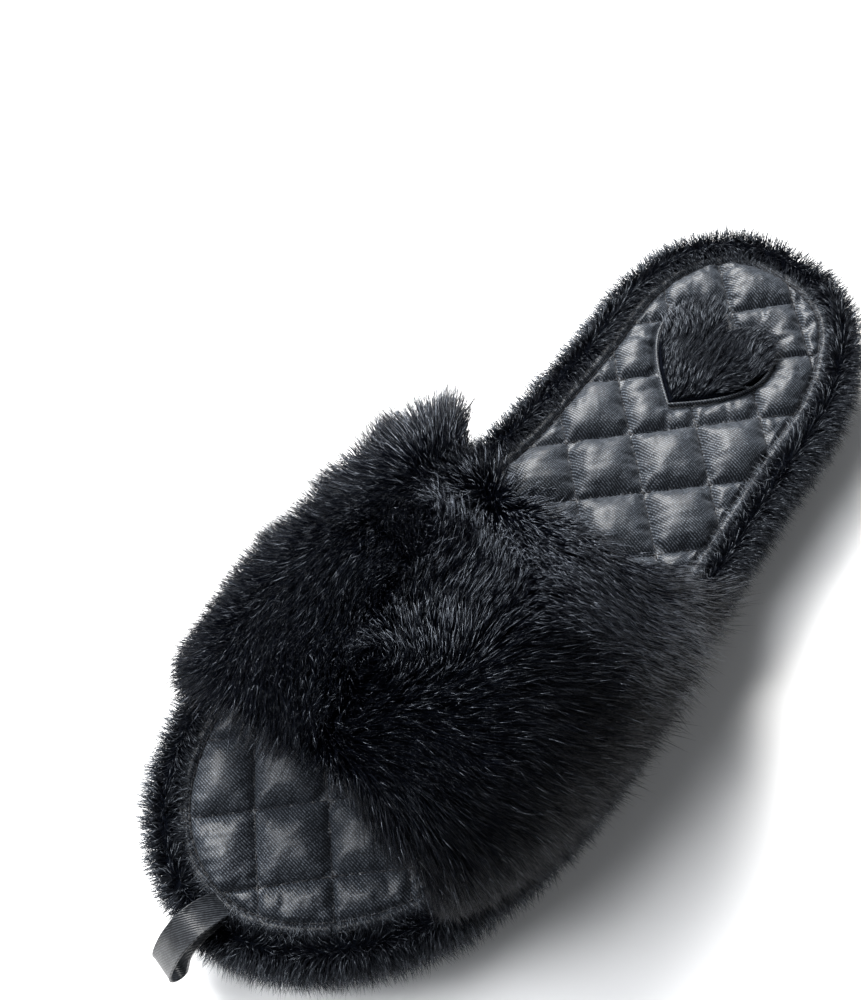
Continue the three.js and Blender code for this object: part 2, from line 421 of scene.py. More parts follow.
def satin_twill():
    """Charcoal satin: twill lines across the slipper, broken into floats, with glints on soft patches."""
    m = new_material("satin_twill", (0.03, 0.034, 0.042), 0.5, Sheen_Weight=0.05, Sheen_Roughness=0.4,
                     Sheen_Tint=(0.75, 0.85, 1.0, 1), Specular_IOR_Level=0.40)
    position = object_position(m, turn=math.radians(5))
    twill = stripes(m, position, 0.66 * MM, "Y")
    floats = stripes(m, position, 0.9 * MM, "X", 1.0)
    cloth = maths(m, "MULTIPLY", twill, maths(m, "ADD", maths(m, "MULTIPLY", floats, 0.3), 0.7))
    patches = noise(m, position, 9 * MM)
    glints = noise(m, position, 0.38 * MM, 1.0)
    shade = maths(m, "ADD", maths(m, "MULTIPLY", cloth, 0.42), maths(m, "MULTIPLY", patches, 0.10))
    shade = maths(m, "ADD", shade, maths(m, "MULTIPLY", glints, 0.75))
    shade = maths(m, "SUBTRACT", shade, 0.17)
    colour = ramp(m, shade, [(0.18, (0.001, 0.0015, 0.003)), (0.48, (0.010, 0.013, 0.018)),
                             (0.82, (0.145, 0.165, 0.195))])
    link(m, colour, shader_of(m).inputs["Base Color"])
    rough = maths(m, "ADD", maths(m, "MULTIPLY", patches, 0.10), 0.44)
    link(m, rough, shader_of(m).inputs["Roughness"])
    bump(m, cloth, 0.05 * MM)
    return m


def moulded_rubber():
    """Grey rubber with a fine leather grain and slight dusty patches."""
    m = new_material("moulded_rubber", (0.30, 0.33, 0.34), 0.6)
    position = object_position(m)
    cells = add_node(m, "ShaderNodeTexVoronoi", Scale=1 / (1.1 * MM))
    cells.feature = "SMOOTH_F1"
    link(m, position, cells.inputs["Vector"])
    grain = maths(m, "ADD", cells.outputs["Distance"], noise(m, position, 0.5 * MM))
    dust = noise(m, position, 22 * MM, 6.0)
    colour = ramp(m, dust, [(0.3, (0.20, 0.22, 0.23)), (0.55, (0.27, 0.295, 0.30)),
                            (0.8, (0.36, 0.39, 0.40))])
    link(m, colour, shader_of(m).inputs["Base Color"])
    link(m, maths(m, "ADD", maths(m, "MULTIPLY", dust, 0.25), 0.45), shader_of(m).inputs["Roughness"])
    bump(m, grain, 0.16 * MM, 0.6)
    return m


def dark_cloth(name, colour, size, depth, sheen=0.2):
    """A dull finish for cloth, thread, foam, board and glue: a fine grain in colour and height."""
    m = new_material(name, colour, 0.85, Sheen_Weight=sheen, Specular_IOR_Level=sheen)
    position = object_position(m)
    grain = noise(m, position, size, 2.0)
    low, high = (tuple(c * k for c in colour) for k in (0.5, 1.6))
    link(m, ramp(m, grain, [(0.3, low), (0.7, high)]), shader_of(m).inputs["Base Color"])
    bump(m, grain, depth)
    return m


def ribbon_satin():
    """Black satin ribbon: close cross ribs, lighter in soft mottled places of painted sheen."""
    m = new_material("ribbon_satin", (0.01, 0.011, 0.014), 0.42, Sheen_Weight=0.02,
                     Sheen_Tint=(0.8, 0.88, 1.0, 1), Specular_IOR_Level=0.28)
    position = object_position(m, turn=math.radians(38))
    ribs = stripes(m, position, 0.55 * MM, "X", 1.5)
    # Painted highlight: a soft mottle of lighter colour where the satin's sheen shows.
    painted_sheen = maths(m, "MULTIPLY", noise(m, position, 1.0 * MM), noise(m, position, 4 * MM))
    grain = maths(m, "MULTIPLY", ribs, maths(m, "MULTIPLY", painted_sheen, 3.6))
    colour = ramp(m, grain, [(0.2, (0.002, 0.0025, 0.004)), (0.9, (0.032, 0.036, 0.042))])
    link(m, colour, shader_of(m).inputs["Base Color"])
    bump(m, grain, 0.08 * MM)
    return m


def pile_tones(name, tones, roughness):
    """One material for each tone of a pile's hairs, as (colour, share) pairs; the shares add up to 1; the
    last, pale tone is painted glints on tips.
    """
    made = [
        new_material(f"{name}_{i}", colour, roughness, Specular_IOR_Level=0.14 + 4 * colour[2],
                     Specular_Tint=(0.8, 0.88, 1.0, 1))
        for i, (colour, _) in enumerate(tones)
    ]
    return made, np.array([share for _, share in tones])


SATIN = satin_twill()
RUBBER = moulded_rubber()
THREAD = dark_cloth("thread", (0.009, 0.010, 0.013), 0.3 * MM, 0.05 * MM)
UNDER_FUR = dark_cloth("under_fur", (0.002, 0.0025, 0.004), 0.7 * MM, 0.3 * MM, sheen=0.0)
LINING = dark_cloth("brushed_lining", (0.014, 0.015, 0.018), 0.8 * MM, 0.15 * MM)
RIBBON_SATIN = ribbon_satin()
GLUE = dark_cloth("bond_line", (0.45, 0.46, 0.44), 1.5 * MM, 0.15 * MM)
# The last tone of each pile is pale: partly a tipped-fur look, partly glints painted on the hairs' tips.
LONG_TONES = pile_tones("long_pile", [((0.0010, 0.0014, 0.0028), 0.64), ((0.0035, 0.0045, 0.008), 0.31),
                                      ((0.10, 0.112, 0.135), 0.05)], 0.30)
SHORT_TONES = pile_tones("short_pile", [((0.006, 0.007, 0.010), 0.40), ((0.020, 0.023, 0.029), 0.32),
                                        ((0.10, 0.112, 0.13), 0.28)], 0.40)
HEART_TONES = (SHORT_TONES[0], [0.72, 0.25, 0.03])


# ---------------------------------------------------------------- rubber sole
def groove_rows(low, high):
    """Groove numbers of the tread's rows: six rows to a groove, closest together across it."""
    numbers = np.arange(math.ceil(low / TREAD_PITCH), math.floor(high / TREAD_PITCH) + 1)
    steps = np.array([-0.5, -0.19, -0.09, 0.0, 0.09, 0.19])
    rows = (numbers[:, None] + steps[None, :]).ravel()
    ends = end_spaced(low, high, 90, 0.98) / TREAD_PITCH
    ends = ends[(ends < rows[0] - 0.1) | (ends > rows[-1] + 0.1)]
    return np.sort(np.concatenate([rows, ends]))


def rubber_sole():
    """The outsole, tread down.

    Row k lies at y = k p + a A sin(2 pi (x / L + k s)), where p is the pitch, A the wave, L its length,
    s the shift from groove to groove, and a fades to 0 at the rim. Every whole k is a groove, as deep as
    exp(-(distance / half width)^2). The plate's recess and the smooth rim have no grooves.
    The rim is a quarter round: z = R - sqrt(R^2 - (R - d)^2) at a distance d inside the edge."""
    low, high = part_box("outsole")
    k = groove_rows(low[1] + 0.1 * MM, high[1] - 0.1 * MM)
    x, y0 = rows_inside(0.0, k * TREAD_PITCH, end_spaced(0, 1, 74, 0.6))
    outline = edge(np.arange(720) / 720)
    fade = smoothstep(0, TREAD_BORDER, inside_distance(x, y0, outline))
    phase = TAU * (x / TREAD_WAVELENGTH + k[:, None] * TREAD_SHIFT)
    y = y0 + TREAD_WAVE * fade * np.sin(phase)
    distance = inside_distance(x, y, outline)
    spacing = TREAD_PITCH + TREAD_WAVE * TAU * TREAD_SHIFT * np.cos(phase) * fade
    from_groove = np.abs(k - np.round(k))[:, None] * spacing
    waist = np.exp(-(((y - 12 * MM) / (32 * MM)) ** 2)) * smoothstep(0, -20 * MM, x)
    border = TREAD_BORDER + TREAD_WAIST * waist
    tread = smoothstep(-0.4 * MM, 1.2 * MM, distance - border)
    plate = np.maximum(np.abs(x - PLATE_CENTRE[0]) - PLATE_SIZE[0] / 2,
                       np.abs(y - PLATE_CENTRE[1]) - PLATE_SIZE[1] / 2)
    off_plate = smoothstep(0.5 * MM, 1.6 * MM, plate)
    groove = TREAD_DEPTH * np.exp(-(from_groove / (0.3 * MM)) ** 2) * tread * off_plate
    recess = PLATE_RECESS * (1 - smoothstep(0.0, 0.7 * MM, plate))
    inner = np.maximum(SOLE_ROUND - distance, 0)
    bottom = SOLE_ROUND - np.sqrt(SOLE_ROUND**2 - inner**2) + groove + recess
    sole = slab("rubber_sole", x, y, bottom, high[2], RUBBER)
    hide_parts("outsole")
    return sole


def size_plate():
    """The smooth plate at the waist: a rounded rectangle (a superellipse of power 8) with a soft rim."""
    t = np.arange(96) / 96 * TAU
    shape = (np.abs(np.cos(t)) ** 8 + np.abs(np.sin(t)) ** 8) ** (-1 / 8)
    rings = np.array([[0.5, 0.45], [0.88, 0.45], [0.92, 0.12], [0.97, 0.12], [1.0, 0.5], [1.0, 1.4],
                      [0.5, 1.4]])  # share of the half size, and millimetres off the ground
    radius, z = rings[:, :1], rings[:, 1:] * MM
    half = np.array(PLATE_SIZE) / 2 - 0.3 * MM
    x = PLATE_CENTRE[0] + radius * half[0] * shape * np.cos(t)
    y = PLATE_CENTRE[1] + radius * half[1] * shape * np.sin(t)
    plate = ring_stack("size_plate", np.stack([x, y, np.broadcast_to(z, x.shape)], -1), RUBBER)
    return plate


def size_number():
    """The moulded shoe size on the plate, read from below with its top towards the toe."""
    text = bpy.data.curves.new("size_number", "FONT")
    text.body = "39"
    text.align_x, text.align_y = "CENTER", "CENTER"
    text.size, text.extrude, text.bevel_depth = NUMBER_HEIGHT, 0.2 * MM, 0.06 * MM
    flat = bpy.data.objects.new("size_number_text", text)
    bpy.context.scene.collection.objects.link(flat)
    bpy.context.view_layer.update()
    mesh = bpy.data.meshes.new_from_object(flat)
    bpy.data.objects.remove(flat)
    mesh.transform(Matrix.Translation((*PLATE_CENTRE, 0.34 * MM)) @ Matrix.Rotation(math.pi, 4, "X"))
    mesh.materials.clear()
    mesh.materials.append(RUBBER)
    number = bpy.data.objects.new("size_number", mesh)
    bpy.context.scene.collection.objects.link(number)
    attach(number, SLIPPER)


def bond_line():
    """The pale adhesive bead between the sole and the fur strip, uneven in height and width."""
    steps = 480
    t = np.arange(steps) / steps
    around = np.arange(6) / 6 * TAU
    radius = BEAD_RADIUS * (1 + 0.35 * wander(t * 40, t * 0, 3, 5))[:, None]
    out = 0.2 * MM + radius * np.cos(around)
    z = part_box("outsole")[1][2] + 0.15 * MM + radius * np.sin(around)
    flat = edge(t)[:, None] + edge_normal(t)[:, None] * out
    points = np.stack([flat.real, flat.imag, z], -1)
    bead = mesh_piece("bond_line", points, grid_faces(steps, 6, True, True), GLUE)


# ---------------------------------------------------------------- heart
def heart_curve(count=240, grow=0.0):
    """The heart's outline as x + iy: four cubic curves from tip to tip, fitted to the CAD inlay's box."""
    low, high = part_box("heart_inlay")
    right = [(0, -1.06), (0.35, -0.75), (1, -0.25), (1, 0.35), (1, 1.1), (0.25, 1.25), (0, 0.66)]
    half = np.array([complex(*p) for p in right])
    whole = np.concatenate([half, -np.conj(half[::-1])[1:]])
    s = np.linspace(0, 4, count, endpoint=False)
    i = s.astype(int)
    f = s - i
    a, b, c, d = (whole[3 * i + j] for j in range(4))
    z = a * (1 - f) ** 3 + 3 * b * f * (1 - f) ** 2 + 3 * c * f**2 * (1 - f) + d * f**3
    width = (high[0] - low[0]) / 2 + grow
    tall = (high[1] - low[1] + 2 * grow) / (z.imag.max() - z.imag.min())
    middle_y = low[1] - grow - z.imag.min() * tall
    return (low[0] + high[0]) / 2 + z.real * width / z.real.max() + 1j * (middle_y + z.imag * tall)


HEART = heart_curve()
HEART_MIDDLE = complex(HEART.real.mean(), (HEART.imag.max() + HEART.imag.min()) / 2 + 1 * MM)


def heart_signed(x, y):
    """Distance outside the heart's outline, negative inside it: inside where the outline winds round."""
    shape = np.shape(x)
    z = (x + 1j * y).ravel()
    near = np.full(len(z), 60 * MM)
    close = np.abs(z - HEART_MIDDLE) < 40 * MM
    gap = HEART[None, :] - z[close][:, None]
    turn = np.angle(np.roll(gap, -1, 1) / gap).sum(1)
    near[close] = np.abs(gap).min(1) * np.where(np.abs(turn) > math.pi, -1, 1)
    return near.reshape(shape)


# ---------------------------------------------------------------- quilted sock
SOCK_CURVE = edge(np.arange(720) / 720, SOCK_INSET)
SOCK_SEAM_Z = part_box("quilted_sock")[0][2] + 0.3 * MM


def quilt_places(x, y):
    """Lattice numbers along the two sewn directions, whole on the sewn lines, which drift a little."""
    x = x + QUILT_DRIFT * wander(x, y, 70 * MM, 11)
    y = y + QUILT_DRIFT * wander(x, y, 70 * MM, 12)
    side = QUILT_CELL * math.sqrt(2)
    return (x - QUILT_NODE[0] + y - QUILT_NODE[1]) / side, (x - QUILT_NODE[0] - y + QUILT_NODE[1]) / side


def blow_up(points, faces, pinned):
    """Moves of a cloth, in metres, after a short simulation under pressure with some points pinned."""
    mesh = bpy.data.meshes.new("quilt_cloth")
    mesh.from_pydata(points, [], faces)
    cloth = bpy.data.objects.new("quilt_cloth", mesh)
    bpy.context.scene.collection.objects.link(cloth)
    cloth.vertex_groups.new(name="sewn").add(np.nonzero(pinned)[0].tolist(), 1.0, "ADD")
    modifier = cloth.modifiers.new("cloth", "CLOTH")
    satin = modifier.settings
    satin.vertex_group_mass = "sewn"
    satin.quality, satin.mass, satin.air_damping = 6, 0.02, 1.0
    satin.tension_stiffness = satin.compression_stiffness = 5.0
    satin.shear_stiffness, satin.bending_stiffness = 1.7, 0.02
    satin.shrink_min = -0.07  # cut larger than the cell it is sewn to
    satin.use_pressure, satin.uniform_pressure_force = True, 4.0
    satin.effector_weights.gravity = 0
    modifier.point_cache.frame_start, modifier.point_cache.frame_end = 1, CLOTH_FRAMES
    for frame_number in range(1, CLOTH_FRAMES + 1):
        bpy.context.scene.frame_set(frame_number)
    made = cloth.evaluated_get(bpy.context.evaluated_depsgraph_get()).to_mesh()
    after = np.empty(3 * len(points))
    made.vertices.foreach_get("co", after)
    bpy.context.scene.frame_set(1)
    bpy.data.objects.remove(cloth)
    bpy.data.meshes.remove(mesh)
    return np.clip(after.reshape(-1, 3) - points, -0.3, 0.3)


def puffed_cells():
    """The satin's moves between its sewn lines, in cells, on a lattice grid, and the grid's first numbers.

    The cloth is simulated with each sewn square a metre wide and pinned on the sewn lines, beyond the
    rim seam and under the heart."""
    a, b = quilt_places(SOCK_CURVE.real, SOCK_CURVE.imag)
    first = (math.floor(a.min()), math.floor(b.min()))
    count = [math.ceil(v.max()) - f for v, f in zip((a, b), first)]
    i, j = np.meshgrid(*[np.arange(c * QUILT_STEPS + 1) for c in count], indexing="ij")
    a, b = first[0] + i / QUILT_STEPS, first[1] + j / QUILT_STEPS
    half = QUILT_CELL / math.sqrt(2)
    x, y = QUILT_NODE[0] + (a + b) * half, QUILT_NODE[1] + (a - b) * half
    left, right = side_x(y, SOCK_INSET)
    free = (x > left) & (x < right) & (inside_distance(x, y, SOCK_CURVE) > SEAM_INSET)
    free &= (heart_signed(x, y) > 1 * MM) & (i % QUILT_STEPS > 0) & (j % QUILT_STEPS > 0)
    number = np.arange(free.size).reshape(free.shape)
    quads = np.stack([number[:-1, :-1], number[1:, :-1], number[1:, 1:], number[:-1, 1:]], -1).reshape(-1, 4)
    quads = quads[free.ravel()[quads].any(1)]
    used, faces = np.unique(quads, return_inverse=True)
    level = 0.012 * wander(a, b, 0.45, 13)
    flat = np.stack([a, -b, level], -1).reshape(-1, 3)
    moves = np.zeros((free.size, 3))
    moves[used] = blow_up(flat[used], faces.reshape(-1, 4)[:, ::-1], ~free.ravel()[used]) * [1, -1, 1]
    return moves.reshape(*free.shape, 3), first


PUFFS, PUFFS_FIRST = puffed_cells()


def puff_at(x, y):
    """The satin's move at x, y in metres: the simulated grid read between its points, still at both seams."""
    a, b = quilt_places(x, y)
    i, j = ((v - f) * QUILT_STEPS for v, f in zip((a, b), PUFFS_FIRST))
    i, j = (np.clip(v, 0, n - 1.001) for v, n in zip((i, j), PUFFS.shape))
    i0, j0 = i.astype(int), j.astype(int)
    p, q = (i - i0)[..., None], (j - j0)[..., None]
    across = PUFFS[i0, j0] * (1 - p) + PUFFS[i0 + 1, j0] * p
    across_next = PUFFS[i0, j0 + 1] * (1 - p) + PUFFS[i0 + 1, j0 + 1] * p
    move = (across * (1 - q) + across_next * q) * QUILT_CELL
    rim = inside_distance(x, y, SOCK_CURVE)
    still = smoothstep(0, 1.5 * MM, rim - SEAM_INSET) * smoothstep(0.5 * MM, 2.5 * MM, heart_signed(x, y))
    over, along, up = np.moveaxis(move, -1, 0)
    world = np.stack([over + along, over - along, up * math.sqrt(2)], -1)
    return world * still[..., None] / math.sqrt(2), rim, a, b


def quilt_top(x, y):
    """The quilting's top as x, y, z.

    The puffed satin, with puckers that cross the sewn lines and die out as exp(-distance), a groove
    exp(-(distance / width)^2) deep on each sewn line, and a half-sine roll outside the rim seam."""
    move, rim, a, b = puff_at(x, y)
    ta, tb = (np.abs(v - np.round(v)) * 2 for v in (a, b))
    half = QUILT_CELL / 2
    pucker = sum(
        np.exp(-t * half / PUCKER_REACH) * smoothstep(0, 0.1, t)
        * np.sin(TAU * other * QUILT_CELL / PUCKER_PITCH + 4 * wander(x, y, 30 * MM, seed))
        for t, other, seed in ((ta, b, 21), (tb, a, 22))
    )
    sewn = smoothstep(0, 4 * MM, rim - SEAM_INSET) * smoothstep(0.5 * MM, 4 * MM, heart_signed(x, y))
    height = PUCKER * pucker * sewn + 0.10 * MM * wander(x, y, 8 * MM, 23) * sewn
    seam = np.minimum(np.minimum(ta, tb) * half, np.abs(rim - SEAM_INSET))
    groove = SEAM_DEPTH * np.exp(-((seam / SEAM_WIDTH) ** 2))
    height -= groove * smoothstep(0, 1 * MM, heart_signed(x, y))
    roll = 0.5 * MM * np.sin(math.pi * np.clip(rim / SEAM_INSET, 0, 1)) ** 0.7
    height += np.where(rim < SEAM_INSET, roll, 0)
    return x + move[..., 0], y + move[..., 1], SOCK_SEAM_Z + PUFF_RISE * move[..., 2] + height


def quilted_sock():
    """The satin footbed with its wadding: quilt_top above, flat below, inside the sock's outline."""
    low, high = SOCK_CURVE.imag.min() + 0.1 * MM, SOCK_CURVE.imag.max() - 0.1 * MM
    x, y = rows_inside(SOCK_INSET, end_spaced(low, high, 330, 0.35), end_spaced(0, 1, 124, 0.35))
    sock = slab("quilted_footbed", *quilt_top(x, y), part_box("quilt_wadding")[0][2] + 0.2 * MM, SATIN)
    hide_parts("quilted_sock", "quilt_wadding")
    return sock


def stitch_row(z, height):
    """Stitch centres and directions for points x + iy along a line, at their heights."""
    ahead = np.roll(z, -1) - z
    direction = np.stack([ahead.real, ahead.imag, np.zeros(len(z))], -1)
    points = np.stack([z.real, z.imag, height], -1)
    return points, unit(direction)


def stitches(name, centres, directions, length, radius, replaces=None):
    """Short thread floats: each is a four-sided bar with tapered ends, lying along its direction."""
    around = np.arange(4) / 4 * TAU
    profile = np.array([[-0.5, 0.15], [-0.3, 1.0], [0.3, 1.0], [0.5, 0.15]])
    up = np.array([0, 0, 1.0])
    side = unit(np.cross(up, directions))
    lift = np.cross(directions, side)
    turn = around[None, :, None]
    ring = side[:, None, :] * np.cos(turn) + lift[:, None, :] * np.sin(turn)
    along = directions[:, None, None, :] * (profile[:, 0] * length)[None, :, None, None]
    points = centres[:, None, None, :] + along + ring[:, None] * (profile[:, 1] * radius)[None, :, None, None]
    one = np.concatenate([grid_faces(4, 4, False, True), [[3, 2, 1, 0], [12, 13, 14, 15]]])
    faces = (one[None] + 16 * np.arange(len(centres))[:, None, None]).reshape(-1, 4)
    piece = mesh_piece(name, points, faces, THREAD)
    if replaces:
        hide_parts(replaces)
    return piece


def quilting_stitches():
    """Stitches down every sewn line of both directions, inside the rim seam and clear of the heart."""
    reach = 16 * QUILT_CELL
    half = QUILT_CELL / math.sqrt(2)
    along = np.arange(-reach, reach, QUILT_STITCH)
    centres, directions = [], []
    for slope in (1, -1):
        for k in range(-14, 15):
            base = complex(*QUILT_NODE) + k * 2 * half
            direction = complex(1, slope) / math.sqrt(2)
            z = base + along * direction
            for _ in range(3):  # moves the points onto the drifting line
                a, b = quilt_places(z.real, z.imag)
                miss = (b - k if slope == 1 else a - k) * QUILT_CELL
                z = z - miss * complex(1, -slope) / math.sqrt(2)
            rim = inside_distance(z.real, z.imag, SOCK_CURVE)
            left, right = side_x(z.imag, SOCK_INSET)
            keep = (rim > SEAM_INSET + 0.8 * MM) & (z.real > left) & (z.real < right)
            keep &= (heart_signed(z.real, z.imag) > 2.2 * MM) & (np.abs(z.imag) < STITCHED_REACH)
            if keep.sum() < 2:
                continue
            points, way = stitch_row(z, quilt_top(z.real, z.imag)[2] + STITCH_LIFT)
            centres.append(points[keep])
            directions.append(way[keep])
    stitches("quilting_stitches", np.concatenate(centres), np.concatenate(directions), *QUILT_FLOAT)


def rim_stitches():
    """The topstitching just inside the sock's edge."""
    t = np.arange(0, 1, RIM_STITCH / RIM_SEAM)
    z = edge(t, SOCK_INSET - SEAM_INSET)
    points, way = stitch_row(z, quilt_top(z.real, z.imag)[2] + STITCH_LIFT)
    stitches("rim_stitches", points, way, *RIM_FLOAT, "rim_stitching")


# ---------------------------------------------------------------- fur strands
LONG_STEPS = np.array([0, 0.36, 0.72, 1.0])  # how far along a long hair its rings and tip are
SHORT_STEPS = np.array([0, 0.55, 1.0])


def hair_lines(steps, roots, normals, lays, lengths, lean, droop):
    """Centre lines: root + L (s cos(lean) n + (s sin(lean) + 0.6 droop s^2) lay - droop s^2 n).

    s runs from 0 at the root to 1 at the tip, n is the outward way and L the hair's length."""
    s = steps[None, :, None]
    n, lay, size = normals[:, None], lays[:, None], lengths[:, None, None]
    c, w = np.cos(lean)[:, None, None], np.sin(lean)[:, None, None]
    bend = droop[:, None, None] * s**2
    return roots[:, None] + size * (s * c * n + (s * w + 0.6 * bend) * lay - bend * n)


def gather(steps, lines, guides, amount):
    """Draws each hair towards its lock's guide hair, by amount s^1.5, so tips meet in locks."""
    pull = amount[:, None, None] * steps[None, :, None] ** 1.5
    return lines * (1 - pull) + guides * pull


def lock_middle(value, size):
    """The middle of the cell, of the given size, in which each value lies."""
    return (np.floor(value / size) + 0.5) * size


def hair_mesh(name, steps, lines, radius, tones, seed, glint_share=0.0):
    """Hairs as closed three-sided spikes: rings that shrink as (1 - s)^0.5, then the tip.

    The last tone is a painted glint, for tips only; the last argument is the share of hairs that take it
    beside their usual share."""
    rng = np.random.default_rng(seed)
    count, rings = len(lines), len(steps) - 1
    along = unit(lines[:, -1] - lines[:, 0])
    side = unit(np.cross(along, rng.normal(size=(count, 3))))
    other = np.cross(along, side)
    angle = np.arange(3) / 3 * TAU
    ring = side[:, None] * np.cos(angle)[None, :, None] + other[:, None] * np.sin(angle)[None, :, None]
    taper = (1 - steps[:-1]) ** 0.5
    size = (radius * rng.uniform(0.7, 1.3, count))[:, None, None, None]
    around = lines[:, :-1, None] + ring[:, None] * taper[None, :, None, None] * size
    points = np.concatenate([around.reshape(count, 3 * rings, 3), lines[:, -1:]], 1)
    starts = 3 * np.arange(rings - 1)
    walls = [[a + i, a + (i + 1) % 3, a + 3 + (i + 1) % 3, a + 3 + i] for a in starts for i in range(3)]
    tip = 3 * rings
    ends = [[tip - 3, tip - 2, tip], [tip - 2, tip - 1, tip], [tip - 1, tip - 3, tip], [2, 1, 0]]
    start = (tip + 1) * np.arange(count)[:, None, None]
    quads = (np.array(walls)[None] + start).reshape(-1, 4)
    triangles = (np.array(ends)[None] + start).reshape(-1, 3)
    materials, shares = tones
    tone = rng.choice(len(materials), count, p=shares)
    # Painted glints: by the given share, more hairs take the pale tip tone.
    tone = np.where(rng.random(count) < glint_share, len(materials) - 1, tone)
    below = np.where(tone == len(materials) - 1, 1, tone)
    which = np.concatenate([np.repeat(below, len(walls)), np.repeat(tone, len(ends))])
    return mesh_piece(name, points, [quads, triangles], materials, SLIPPER, which)


# ---------------------------------------------------------------- fur strip round the platform
def strip_section():
    """(out, z) pairs up the strip's outer face, from the sole over the rim to the sock."""
    z0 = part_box("fur_wrap")[0][2] / MM
    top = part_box("quilted_sock")[1][2] / MM
    outer = [(0.6, z0 + 0.1), (2.4, z0 + 1.6), (3.4, z0 + 6), (3.5, z0 + 13), (3.0, top - 4), (1.6, top - 1),
             (-0.6, top + 0.2), (-2.8, top - 0.1), (-4.2, top - 1.3)]
    return curve_through(np.array(outer) * MM, 33)


STRIP = strip_section()
STRIP_NORMAL = unit(np.stack([np.gradient(STRIP[:, 1]), -np.gradient(STRIP[:, 0])], -1))


def strip_backing():
    """The strip's knitted backing: its outer face and the same face 1 mm further in, closed at the edges."""
    inner = STRIP - STRIP_NORMAL * 1.0 * MM
    section = np.concatenate([STRIP, inner[::-1]])
    backing = ring_body("fur_strip_backing", section, 360, UNDER_FUR)
    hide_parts("fur_wrap")
    return backing


def strip_at(values, s):
    """Pairs given at the section's points, read between them at s from 0 at the sole to 1 at the sock."""
    index = s * (len(STRIP) - 1)
    return np.stack([np.interp(index, np.arange(len(values)), values[:, k]) for k in (0, 1)], -1)


def strip_hairs(t, s):
    """Where hairs stand on the strip, at t round the outline and s from the sole to the sock.

    Their roots, outward ways, ways up the face towards the sock, and ways round the outline."""
    place, normal = strip_at(STRIP, s), unit(strip_at(STRIP_NORMAL, s))
    out = edge_normal(t)
    z = edge(t) + out * place[:, 0]
    spot = np.stack([z.real, z.imag, place[:, 1]], -1)
    outward = np.stack([out.real, out.imag, np.zeros(len(t))], -1)
    up = np.array([0, 0, 1.0])
    face = normal[:, :1] * outward + normal[:, 1:] * up
    climb = -normal[:, 1:] * outward + normal[:, :1] * up  # along the face, towards the sock
    round_ = np.cross(up, outward)
    return spot, face, climb, round_


def strip_pile(parts=4, count=15500):
    """Short pile over the strip, in parts round the outline, leaning out and swirling a little.

    It stands up on the rim's roll and lies in towards the sock at the top edge."""
    rng = np.random.default_rng(31)
    girth = np.abs(np.diff(edge(EDGE_T, 3 * MM))).sum()
    height = np.linalg.norm(np.diff(STRIP, axis=0), axis=1).sum()
    made = []
    for part in range(parts):
        t, s = (part + rng.random(count)) / parts, rng.random(count) ** 0.8 * 0.987 + 0.008
        spot, face, climb, round_ = strip_hairs(t, s)
        x, y = spot[:, 0] + spot[:, 2], spot[:, 1] - spot[:, 2]
        swirl = 1.3 * wander(x, y, 26 * MM, 32) + 0.5 * rng.normal(size=count)
        down = smoothstep(0.75, 0.45, s) * 2 - 1
        lay = unit(-climb * (0.35 + 0.65 * np.abs(down))[:, None] * np.cos(swirl)[:, None]
                   + round_ * np.sin(swirl)[:, None] + climb * 2.2 * smoothstep(0.76, 0.97, s)[:, None])
        length = SHORT_PILE * rng.uniform(0.5, 1.2, count) * (1 - 0.25 * smoothstep(0.88, 1.0, s))
        length *= 1 - 0.3 * smoothstep(0.12, 0.0, s)
        roll = np.exp(-(((s - STRIP_ROLL[0]) / STRIP_ROLL[1]) ** 2))
        lean = rng.uniform(0.25, 1.15, count) * (1 - 0.65 * roll) + 0.3 * smoothstep(0.88, 0.97, s)
        lines = hair_lines(SHORT_STEPS, spot, face, lay, length, lean, rng.uniform(0.0, 0.25, count))
        t2 = lock_middle(t * girth, STRIP_LOCK) / girth
        s2 = np.clip(lock_middle(s * height, STRIP_LOCK) / height, 0.01, 0.99)
        spot2, face2, climb2, round2 = strip_hairs(t2, s2)
        lock = np.sin(t2 * 9173 + s2 * 577) * 1.2
        lay2 = unit(-climb2 * np.cos(lock)[:, None] + round2 * np.sin(lock)[:, None])
        guides = hair_lines(SHORT_STEPS, spot2, face2, lay2, length, 0.45 - 0.3 * roll, np.full(count, 0.1))
        lines = gather(SHORT_STEPS, lines, guides, rng.uniform(0.0, 0.4, count) * (s < 0.86))
        lines[..., 2] = np.maximum(lines[..., 2], LOWEST_HAIR)
        piece = hair_mesh(f"short_pile_{part + 1}", SHORT_STEPS, lines, STRIP_HAIR, SHORT_TONES, 40 + part)
        made.append(piece)
    return made


# ---------------------------------------------------------------- heart inlay
def heart_pad():
    """The heart's backing: rings of its outline drawn in to the middle, steep at the edge and flat within."""
    r = np.array([1.0, 1.0, 0.97, 0.9, 0.75, 0.5, 0.2])[:, None]
    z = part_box("quilted_sock")[1][2] + np.array([-0.8, 0.3, 0.7, 0.9, 1.0, 1.1, 1.1])[:, None] * MM
    flat = HEART_MIDDLE + (heart_curve(160, -0.6 * MM) - HEART_MIDDLE) * r
    rings = np.stack([flat.real, flat.imag, np.broadcast_to(z, flat.shape)], -1)
    pad = ring_stack("heart_pad", rings, UNDER_FUR)
    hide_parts("heart_inlay")
    return pad


def heart_combing(x, y):
    """The way of the heart's pile as an angle: fanned out from below its tip, and swirled a little."""
    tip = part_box("heart_inlay")[0][1]
    return np.arctan2(y - tip + 6 * MM, (x - HEART_MIDDLE.real) * 1.3) + 0.7 * wander(x, y, 16 * MM, 52)


